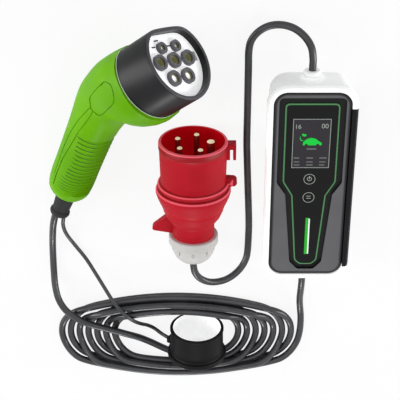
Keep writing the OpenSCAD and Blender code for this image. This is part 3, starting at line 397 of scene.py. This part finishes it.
def cover_finish():
    """Grey plastic with painted shade: dark within a border along the rounded edge and on the sunk floor."""
    finish = moulded("cover_grey", srgb(102, 101, 104), srgb(94, 94, 96), (0.34, 0.46), gloss=0.2)
    tree = finish.node_tree
    shader = tree.nodes["Principled BSDF"]
    plain = shader.inputs["Base Color"].links[0].from_socket
    corner_middle = (COVER_HALF[0] - COVER_CORNER, COVER_HALF[1] - COVER_CORNER, 1)
    border_from = COVER_CORNER - COVER_BORDER
    spot = add_step(tree, "TexCoord", {}, {}).outputs["Object"]
    half = add_step(tree, "VectorMath", {"operation": "ABSOLUTE"}, {0: spot})
    past = add_step(tree, "VectorMath", {"operation": "SUBTRACT"},
                    {0: half.outputs[0], 1: corner_middle})
    outside = add_step(tree, "VectorMath", {"operation": "MAXIMUM"},
                       {0: past.outputs[0], 1: (0, 0, 0)})
    reach = add_step(tree, "VectorMath", {"operation": "LENGTH"}, {0: outside.outputs[0]})
    border = add_step(tree, "MapRange", {}, {"Value": reach.outputs["Value"],
                                             "From Min": border_from + BORDER_FADE[0],
                                             "From Max": border_from + BORDER_FADE[1]})
    height = add_step(tree, "SeparateXYZ", {}, {0: spot})
    sunk = add_step(tree, "MapRange", {}, {"Value": height.outputs["Z"],
                                           "From Min": SUNK_BELOW, "From Max": SUNK_FULLY})
    edge = add_step(tree, "Mix", {"data_type": "RGBA"},
                    {"A": plain, "B": srgb(34, 34, 36), "Factor": border.outputs[0]})
    floor = add_step(tree, "Mix", {"data_type": "RGBA"},
                     {"A": edge.outputs["Result"], "B": srgb(18, 18, 19), "Factor": sunk.outputs[0]})
    tree.links.new(floor.outputs["Result"], shader.inputs["Base Color"])
    return finish


dress("front_cover", cover_finish())


# Panel: a glossy black film carrier, lit round its edge by a green light line,
# with the display, two touch keys and a light bar set into it.
def lit(name, colour, power):
    """Plain plastic with a light of its own, without grain or drift."""
    finish = moulded(name, colour, colour, (0.3, 0.4), bump=0.0, gloss=0.2)
    add_glow(finish, colour, power)
    return finish


panel_gloss = moulded("panel_gloss", srgb(12, 12, 13), srgb(8, 8, 9), (0.1, 0.16), bump=0.0, gloss=0.2)
screen_grey = moulded("screen_grey", srgb(50, 47, 52), srgb(45, 43, 47), (0.2, 0.26), bump=0.0, gloss=0.2)
line_light = lit("line_light", srgb(82, 134, 88), 0.25)
bar_light = lit("bar_light", srgb(36, 150, 38), 0.5)
bar_highlight_white = lit("bar_highlight_white", srgb(225, 228, 225), 0.35)
mark_grey = lit("mark_grey", srgb(104, 104, 104), 0.12)
mark_pale = lit("mark_pale", srgb(150, 156, 150), 0.2)
mark_green = lit("mark_green", srgb(20, 186, 60), 0.3)
dress("glossy_panel", panel_gloss)
dress("display", screen_grey)
dress("touch_keys", panel_gloss)
dress("panel_light_line", line_light)
dress("light_bar", bar_light)


# Marks of the display, printed or moulded into the film, and a glowing white strip along
# the light bar's edge, a painted highlight: thin inlays, each lying on the surface that carries it.
INLAY = 0.00012
SCREEN_TOP = 0.0409
BAR_EDGE_Z = 0.04095


def begin_flat(name):
    """Names the new primitive and opens it with everything selected."""
    piece = bpy.context.object
    piece.name = name
    bpy.ops.object.mode_set(mode="EDIT")
    bpy.ops.mesh.select_all(action="SELECT")
    return piece


def raise_flat(thickness):
    """Raises the open flat outline to a plate and points its faces outwards."""
    bpy.ops.mesh.select_all(action="SELECT")
    bpy.ops.mesh.extrude_region_move(TRANSFORM_OT_translate={"value": (0, 0, thickness)})
    bpy.ops.mesh.select_all(action="SELECT")
    bpy.ops.mesh.normals_make_consistent(inside=False)


def end_inlay(piece, finish):
    """Raises the flat outline to the inlay's thickness and finishes the piece."""
    raise_flat(INLAY)
    bpy.ops.object.mode_set(mode="OBJECT")
    bpy.ops.object.transform_apply(location=True, rotation=True, scale=True)
    settle(piece, finish)


def begin_bar(name, x, y, z, corner):
    """Opens a flat bar between two x and two y in mm, with rounded corners."""
    bpy.ops.object.select_all(action="DESELECT")
    middle = ((x[0] + x[1]) / 2 * MM, (y[0] + y[1]) / 2 * MM, z)
    bpy.ops.mesh.primitive_plane_add(size=1, location=middle)
    piece = begin_flat(name)
    bpy.ops.transform.resize(value=((x[1] - x[0]) * MM, (y[1] - y[0]) * MM, 1))
    bpy.ops.mesh.bevel(affect="VERTICES", offset=corner, segments=3)
    return piece


def flat_bar(name, x, y, z, finish, corner=0.0003, hollow=0):
    """A thin bar, or its frame of the width given as hollow."""
    piece = begin_bar(name, x, y, z, corner)
    if hollow:
        bpy.ops.mesh.select_all(action="SELECT")
        bpy.ops.mesh.inset(thickness=hollow)
        bpy.ops.mesh.delete(type="FACE")
    end_inlay(piece, finish)


flat_bar("display_frame_line", (-16.3, 16.3), (19, 66.4), SCREEN_TOP, mark_pale, hollow=0.0005)
flat_bar("status_line", (-3.8, 4.6), (37, 38.3), SCREEN_TOP, mark_grey)
for row, (low, high) in enumerate(((28.2, 29.4), (24.4, 25.4), (21.4, 22.5))):
    ends = ((-14.6, -9.8 + row * 0.3), (-3.6, 2.2), (7.6, 14 - row * 0.8))
    for column, (left, right) in enumerate(ends):
        flat_bar(f"reading_{row}_{column}", (left, right), (low, high), SCREEN_TOP, mark_grey)
# Painted highlight: a glowing white strip along the light bar's edge.
flat_bar("light_bar_highlight", (1.1, 2.3), (-69.6, -32.6), BAR_EDGE_Z, bar_highlight_white, corner=0.0004)


# Figures of the display: two plain numbers in its upper corners, printed like the other
# marks as thin pale inlays.
def inlay_from_curve(centre, finish):
    """Makes the selected text or curve a mesh inlay that lies on the screen."""
    bpy.ops.object.convert(target="MESH")
    piece = bpy.context.object
    piece.location = (centre[0] * MM, centre[1] * MM, SCREEN_TOP + INLAY / 2)
    bpy.ops.object.transform_apply(location=True, rotation=True, scale=True)
    settle(piece, finish)


def figures(name, text, centre, size):
    """Numerals round a centre, of a size in mm."""
    bpy.ops.object.select_all(action="DESELECT")
    bpy.ops.object.text_add()
    piece = bpy.context.object
    piece.name = name
    piece.data.body = text
    piece.data.size = size * MM
    piece.data.align_x = "CENTER"
    piece.data.align_y = "CENTER"
    piece.data.extrude = INLAY / 2
    inlay_from_curve(centre, mark_pale)


figures("figures_left", "16", (-12, 58.9), 5.8)
figures("figures_right", "00", (11.2, 59.4), 6.2)


# Charging sign of the display: a car with its lead and plug, as thin green inlays.
# Its outlines are drawn in mm.
SIGN_GROUND = 41.2
WHEEL_ARCH = 1.5
LEAD_HALF = 0.28


def flat_shape(name, outline):
    """A thin green inlay with the given outline, as a filled curve made mesh."""
    line = bpy.data.curves.new(name, "CURVE")
    line.dimensions = "2D"
    line.fill_mode = "BOTH"
    line.extrude = INLAY / 2
    spline = line.splines.new("POLY")
    spline.points.add(len(outline) - 1)
    for point, (x, y) in zip(spline.points, outline):
        point.co = (x * MM, y * MM, 0, 1)
    spline.use_cyclic_u = True
    piece = bpy.data.objects.new(name, line)
    bpy.context.scene.collection.objects.link(piece)
    pick(piece)
    inlay_from_curve((0, 0), mark_green)


def wheel_arch(x, count=8):
    """Points of a wheel arch round its middle x, from left to right over its top."""
    turns = [math.pi * i / count for i in range(count + 1)]
    return [(x - WHEEL_ARCH * math.cos(t), SIGN_GROUND + WHEEL_ARCH * math.sin(t)) for t in turns]


car_outline = (
    [(-7.4, 41.4), (-6.1, SIGN_GROUND)] + wheel_arch(-4.3) + wheel_arch(5.6)
    + [(8.8, 41.3), (9.2, 42.4), (8.8, 43.8), (6.6, 45), (4.4, 46.9), (2.2, 48), (-0.6, 48.3),
       (-3.2, 47.6), (-5.4, 46), (-7, 44.2)])
plug_outline = [(-8.4, 51.8), (-7.6, 52.3), (-4.8, 51.7), (-4.4, 50.4), (-5.6, 49.6), (-7.8, 50.2)]
lead_points = [(-7.2, 45.6), (-9, 46), (-9.8, 47.6), (-9.6, 49.6), (-8.2, 51)]
lead_outline = ([(x - LEAD_HALF, y - LEAD_HALF) for x, y in lead_points]
                + [(x + LEAD_HALF, y + LEAD_HALF) for x, y in reversed(lead_points)])
flat_shape("car_sign", car_outline)
flat_shape("plug_sign", plug_outline)
flat_shape("lead_sign", lead_outline)


# Marks of the two touch keys: a thin ring on each key's edge and a plain sign in its
# sunk middle, printed like those of the display.
KEY_CENTRES = ((0, 7.9), (0, -10.6))
KEY_FLOOR = 0.0407
KEY_TOP = 0.0411


def flat_ring(name, centre, z, outer, inner):
    """A thin round inlay ring, given in mm."""
    bpy.ops.object.select_all(action="DESELECT")
    bpy.ops.mesh.primitive_circle_add(vertices=40, radius=outer * MM, fill_type="NGON",
                                      location=(centre[0] * MM, centre[1] * MM, z))
    piece = begin_flat(name)
    bpy.ops.mesh.inset(thickness=(outer - inner) * MM)
    bpy.ops.mesh.delete(type="FACE")
    end_inlay(piece, mark_pale)


for i, key in enumerate(KEY_CENTRES):
    flat_ring(f"key_ring_{i}", key, KEY_TOP, 5.2, 4.7)
flat_ring("key_sign_ring", KEY_CENTRES[0], KEY_FLOOR, 2.1, 1.6)
flat_bar("key_sign_stem", (-0.3, 0.3), (7.6, 10.8), KEY_FLOOR + INLAY, mark_pale, corner=0.0002)
flat_bar("key_sign_upper", (-1.9, 1.9), (-9.8, -9.2), KEY_FLOOR, mark_pale, corner=0.0002)
flat_bar("key_sign_lower", (-1.9, 1.9), (-12, -11.4), KEY_FLOOR, mark_pale, corner=0.0002)


# Vehicle connector: two green shell halves screwed round the dark barrel. The grip has
# sharp moulded ribs, whose undersides are painted darker green as painted shade. The
# connector's own frame has its origin in the barrel's rear face and its Z axis along the barrel.
CONNECTOR_PLACE = Vector((-138, 109.5, 53.25)) * MM
CONNECTOR_TURN = Euler([math.radians(t) for t in (-51.5, 48.5, -16.5)], "XYZ")
CONNECTOR = Matrix.Translation(CONNECTOR_PLACE) @ CONNECTOR_TURN.to_matrix().to_4x4()
TO_CONNECTOR = CONNECTOR.inverted()
GRIP_LEAN = math.radians(33)
GRIP_AXIS = Vector((0, math.sin(GRIP_LEAN), math.cos(GRIP_LEAN)))
RIBS_ALONG_GRIP = (-0.1375, -0.0785)
RIB_SLOPE = -0.22

shell_green = moulded("shell_green", srgb(108, 176, 0), srgb(95, 161, 0), (0.36, 0.48), bump=0.04, gloss=0.1)
rib_shade_green = moulded("rib_shade_green", srgb(48, 98, 0), srgb(42, 88, 0), (0.4, 0.5), bump=0.04, gloss=0.2)


def rib_shade_side(spot, normal):
    """1 for a rib's underside on the grip, which gets painted shade, 0 elsewhere on the shell."""
    along_grip = (TO_CONNECTOR @ spot).dot(GRIP_AXIS)
    slope = (TO_CONNECTOR.to_3x3() @ normal).dot(GRIP_AXIS)
    return int(RIBS_ALONG_GRIP[0] < along_grip < RIBS_ALONG_GRIP[1] and slope < RIB_SLOPE)


for side in ("left", "right"):
    shell = smooth_copy(f"connector_shell_{side}", f"grip_shell_{side}", angle=26)
    paint(shell, (shell_green, rib_shade_green), rib_shade_side)


# Beads of the shell: the raised outline of the field on the shell's flank and the line
# beside the seam down the grip. Both are moulded with the shell and stand out a little,
# and are painted a darker green as painted shade along the field's edge and the seam.
BEAD_RADIUS = 0.00028
bead_shade_green = moulded("bead_shade_green", srgb(60, 118, 0), srgb(54, 108, 0), (0.6, 0.7), bump=0.0, gloss=0.04)


def moulded_bead(name, route):
    """A low rounded bead along points in mm that lie on the shell's skin."""
    pick(round_line(name, route, BEAD_RADIUS, 6, 2, "AUTO"))
    bpy.ops.object.convert(target="MESH")
    bpy.ops.object.shade_smooth()
    settle(bpy.context.object, bead_shade_green)


moulded_bead("label_bead", [
    (-177, 109.4, 67.3), (-173.9, 114.2, 70.4), (-170.9, 114.9, 73.2), (-168.2, 113.5, 75.2),
    (-166.9, 110.7, 77.3), (-166, 106.9, 78.6), (-165.6, 103, 80.5), (-167.2, 98.1, 78.8),
    (-171.1, 92, 74.1), (-175.5, 84, 65.5), (-179.2, 78.3, 58.4), (-180.5, 77.1, 56.8)])
moulded_bead("grip_bead", [
    (-188.3, 82.9, 53), (-193.3, 74.9, 46.9), (-199.8, 65.2, 40.7), (-206, 54.5, 35.9),
    (-211.7, 42.5, 32.7), (-216.7, 30.1, 30.7), (-220.8, 18.9, 29.8), (-224.6, 7.9, 29.5)])


# Barrel, contact face and carrier: the dark moulded barrel, painted lighter grey on its lip
# where it faces forwards as a painted sheen, the pale face plate, which glows with painted
# light, and the grey towers round the contacts. All are injection moulded.
LIP_FROM = 0.0365
LIP_FACING = 0.4
barrel_dark = moulded("barrel_dark", srgb(25, 25, 27), srgb(18, 18, 20), (0.3, 0.4), gloss=0.2)
barrel_lip_sheen = moulded("barrel_lip_sheen", srgb(76, 74, 79), srgb(66, 65, 69), (0.34, 0.46), gloss=0.3)
tower_dark = moulded("tower_dark", srgb(104, 102, 108), srgb(92, 90, 96), (0.34, 0.46), gloss=0.3)
face_white_glow = lit("face_white_glow", srgb(252, 252, 252), 0.4)


def lip_sheen_side(spot, normal):
    """1 on the barrel's lip, where it faces forwards and gets the painted sheen, 0 elsewhere on the barrel.
    """
    height = (TO_CONNECTOR @ spot).z
    return int(height > LIP_FROM and (TO_CONNECTOR.to_3x3() @ normal).z > LIP_FACING)


barrel = smooth_copy("connector_barrel", "barrel_skin", angle=26)
paint(barrel, (barrel_dark, barrel_lip_sheen), lip_sheen_side)
dress("contact_face", face_white_glow)
dress("contact_carrier", tower_dark)
dress("contact_retainer", barrel_dark)
dress("connector_strain_relief", seal_rubber)


# Seam ring: a thin pale strip between the shell and the barrel that glows, a painted
# highlight along the seam. It is cut from the barrel's own skin, so it follows the barrel's outline.
SEAM = (0.0002, 0.0009)
SEAM_WALL = 0.0003
seam_highlight_ring = bpy.data.objects.new("seam_highlight_ring", barrel.data.copy())
bpy.context.scene.collection.objects.link(seam_highlight_ring)
pick(seam_highlight_ring)
bpy.ops.object.mode_set(mode="EDIT")
for height, cut_above in ((SEAM[0], False), (SEAM[1], True)):
    bpy.ops.mesh.select_all(action="SELECT")
    bpy.ops.mesh.bisect(plane_co=CONNECTOR @ Vector((0, 0, height)),
                        plane_no=CONNECTOR.to_3x3() @ Vector((0, 0, 1)),
                        clear_inner=not cut_above, clear_outer=cut_above)
bpy.ops.mesh.select_all(action="DESELECT")
bpy.ops.object.mode_set(mode="OBJECT")
for face in seam_highlight_ring.data.polygons:
    middle = TO_CONNECTOR @ face.center
    outward = TO_CONNECTOR.to_3x3() @ face.normal
    face.select = middle.x * outward.x + middle.y * outward.y < 0
bpy.ops.object.mode_set(mode="EDIT")
bpy.ops.mesh.delete(type="FACE")
bpy.ops.object.mode_set(mode="OBJECT")
wall = seam_highlight_ring.modifiers.new("wall", "SOLIDIFY")
wall.thickness = SEAM_WALL
wall.offset = 1
bpy.ops.object.modifier_apply(modifier="wall")
seam_highlight_ring.data.materials.clear()
settle(seam_highlight_ring, lit("seam_highlight_glow", srgb(214, 226, 206), 0.1))


# Contacts, clamp and screws: turned brass sleeves with a worn silver plating, whose olive
# glint is a painted glint that glows, a punched steel clamp and zinc plated screws.
PLATING_SHADE = 0.8


def plated(name, colour, rough, metal=1.0):
    """Turned or punched metal with a thin plating: fine marks and a little tarnish."""
    deep = tuple(c * PLATING_SHADE for c in colour[:3]) + (1,)
    finish = moulded(name, colour, deep, rough, cloud=220, grain=3500, bump=0.03)
    finish.node_tree.nodes["Principled BSDF"].inputs["Metallic"].default_value = metal
    return finish


contact_metal_glint = plated("contact_metal_glint", srgb(150, 150, 118), (0.3, 0.42))
# Painted glint: the sleeves glow a little olive.
add_glow(contact_metal_glint, srgb(128, 128, 84), 0.32)
screw_steel = plated("screw_steel", srgb(196, 196, 200), (0.25, 0.38))
dress("power_contacts", contact_metal_glint)
dress("signal_contacts", contact_metal_glint)
dress("cable_clamp", screw_steel)
dress("shell_screws", screw_steel)
dress("cover_screws", screw_steel)
dress("board_screws", screw_steel)


# Touch guards: small white tips in the mouths of the lower two power sleeves and of the
# signal sleeves, each with a rounded edge and a dished end. Moulded and pressed in.
# They share the face plate's painted glow.
GUARD_Z = 0.0312
GUARD_SPOTS = ((-8.5, -12.8, 3.0), (8.5, -12.8, 3.0), (-8.5, 13.7, 1.5), (8.5, 13.7, 1.5))
GUARD_PLAY = 0.1
GUARD_HEIGHT = 0.0008
GUARD_EDGE = (0.0004, 0.0003)
GUARD_DISH = (0.0003, -0.0002)


def into_connector(piece, finish):
    """Moves a piece made in the connector's own frame to its place, and finishes it."""
    bpy.ops.object.mode_set(mode="OBJECT")
    bpy.ops.object.transform_apply(location=True, rotation=True, scale=True)
    piece.data.transform(CONNECTOR)
    settle(piece, finish)


for i, (x, y, bore) in enumerate(GUARD_SPOTS):
    bpy.ops.object.select_all(action="DESELECT")
    bpy.ops.mesh.primitive_circle_add(vertices=32, radius=(bore - GUARD_PLAY) * MM,
                                      fill_type="NGON", location=(x * MM, y * MM, GUARD_Z))
    guard = begin_flat(f"touch_guard_{i}")
    bpy.ops.mesh.extrude_region_move(TRANSFORM_OT_translate={"value": (0, 0, GUARD_HEIGHT)})
    for inwards, upwards in (GUARD_EDGE, GUARD_DISH):
        bpy.ops.mesh.inset(thickness=inwards, depth=upwards)
    bpy.ops.mesh.select_all(action="SELECT")
    bpy.ops.mesh.normals_make_consistent(inside=False)
    into_connector(guard, face_white_glow)


# Marks of the contact face, raised on the face plate: the latch's stop, pale and lit by
# painted glow, a short dark bar between the signal towers and two more beside them.
FACE_Z = 0.0315
MARK_CORNER = 0.0004
FACE_MARKS = (("latch_mark", (25.2, 28.4), (-1.5, 6.5), 0.0008, mark_pale),
              ("signal_dark_bar", (-2.6, 3.4), (14.4, 15.5), 0.0004, barrel_dark),
              ("face_mark_upper", (-13, -8), (20.3, 21.3), 0.0004, barrel_dark),
              ("face_mark_left", (-18.4, -14.2), (15.2, 16.2), 0.0004, barrel_dark))
for name, x, y, height, finish in FACE_MARKS:
    mark = begin_bar(name, x, y, FACE_Z, MARK_CORNER)
    raise_flat(height)
    into_connector(mark, finish)


# Supply plug: red moulded shroud, red rear housing, dark red pin carrier, pins and a pale
# nut. On the shroud, the lip and the flange's edges are painted highlights, dark bands below
# the lip and beside the ridge before the flange are painted shade, and the bore and the pin
# carrier glow red with painted light. The pins' cream tips are a painted highlight that
# glows, and their dark red shafts are painted reflection and shade.
PLUG_AXIS = (-0.102, 0.0335)
PLUG_MOUTH = 0.042
BORE_FROM = 0.0005
BORE_RADIUS = 0.0283
LIP_DEPTH = 0.0013
HIGHLIGHT_EDGES = ((0.0405, 0.0416), (0.0458, 0.0474))
SHADE_BANDS = ((0.038, 0.0405), (0.0432, 0.0458))
MOUTH_SHADE_BAND = 0.007
MOUTH_RADIUS = 0.032
PIN_TIP = 0.0023

plug_red = moulded("plug_red", srgb(188, 20, 38), srgb(172, 14, 30), (0.46, 0.58), bump=0.04, gloss=0.14)
band_shade_red = moulded("band_shade_red", srgb(158, 8, 24), srgb(146, 4, 18), (0.36, 0.48), bump=0.04, gloss=0.25)
lip_highlight_red = lit("lip_highlight_red", srgb(232, 88, 104), 0.18)
bore_glow_red = lit("bore_glow_red", srgb(172, 2, 14), 0.3)
pin_tip_highlight = lit("pin_tip_highlight", srgb(250, 232, 196), 0.25)
pin_shade_reflection = plated("pin_shade_reflection", srgb(150, 30, 26), (0.3, 0.4), metal=0.5)
nut_white = moulded("nut_white", srgb(208, 206, 203), srgb(196, 193, 190), (0.36, 0.5), gloss=0.3)


def shroud_part(spot, normal):
    """0 outside, 1 in the mouth, which glows, 2 on the lip and the flange's edges, which get painted
    highlights, 3 in the bands of painted shade.
    """
    depth = PLUG_MOUTH - spot.y
    radius = math.hypot(spot.x - PLUG_AXIS[0], spot.z - PLUG_AXIS[1])
    if depth > BORE_FROM and radius < BORE_RADIUS:
        return 1
    if depth < LIP_DEPTH or any(start < depth < end for start, end in HIGHLIGHT_EDGES):
        return 2
    if depth < MOUTH_SHADE_BAND and radius < MOUTH_RADIUS:
        return 3
    return 3 if any(start < depth < end for start, end in SHADE_BANDS) else 0


shroud = smooth_copy("plug_shroud", "plug_hood", angle=30)
paint(shroud, (plug_red, bore_glow_red, lip_highlight_red, band_shade_red), shroud_part)
dress("plug_rear_housing", plug_red)
dress("plug_pin_carrier", bore_glow_red)
# The pins' tips get a painted highlight, their shafts painted reflection and shade.
for node, name in (("plug_pins", "thin_pins"), ("plug_earth_pin", "earth_pin")):
    pins = smooth_copy(node, name)
    split_at(pins, (0, PLUG_MOUTH - PIN_TIP, 0), (0, 1, 0))
    paint(pins, (pin_shade_reflection, pin_tip_highlight), lambda spot, normal: int(PLUG_MOUTH - spot.y < PIN_TIP))
dress("plug_terminal_screws", screw_steel)
dress("plug_seal", seal_rubber)
dress("plug_gland_nut", nut_white)


# Protective cap: soft black moulding that closes the barrel's mouth on the road, pale
# inside. It hangs on the tether by its lug.
CAP_AXIS = (-0.099, 0.0282)
CAP_MOUTH = -0.161
CAP_LIP = 0.0006
CAP_FLOOR = 0.0295
CAP_BORE = 0.0231
# Painted light: the pale inside of the cap glows a little of its own.
cap_pale_glow = lit("cap_pale_glow", srgb(236, 236, 236), 0.3)
cap_black = moulded("cap_black", srgb(15, 14, 16), srgb(10, 9, 11), (0.44, 0.56), gloss=0.14)


def cap_inside(spot, normal):
    """1 on the inner wall and floor of the cap, 0 elsewhere."""
    depth = CAP_MOUTH - spot.y
    radius = math.hypot(spot.x - CAP_AXIS[0], spot.z - CAP_AXIS[1])
    return int(CAP_LIP < depth < CAP_FLOOR and radius < CAP_BORE)


cap = smooth_copy("protective_cap", "cap_body", angle=30)
paint(cap, (cap_black, cap_pale_glow), cap_inside)


# Inside of the box: the circuit board with its relays, sensor ring, power module and
# terminals, soldered or screwed on. Nothing of it shows while the box is closed.
board_green = moulded("board_green", srgb(30, 92, 52), srgb(22, 76, 42), (0.3, 0.4))
relay_blue = moulded("relay_blue", srgb(40, 84, 160), srgb(34, 74, 146), (0.4, 0.5))
terminal_green = moulded("terminal_green", srgb(44, 132, 84), srgb(36, 118, 74), (0.4, 0.5))
dress("circuit_board", board_green)
dress("relays", relay_blue)
dress("current_sensor", black_plastic)
dress("power_module", black_plastic)
dress("terminal_blocks", terminal_green)
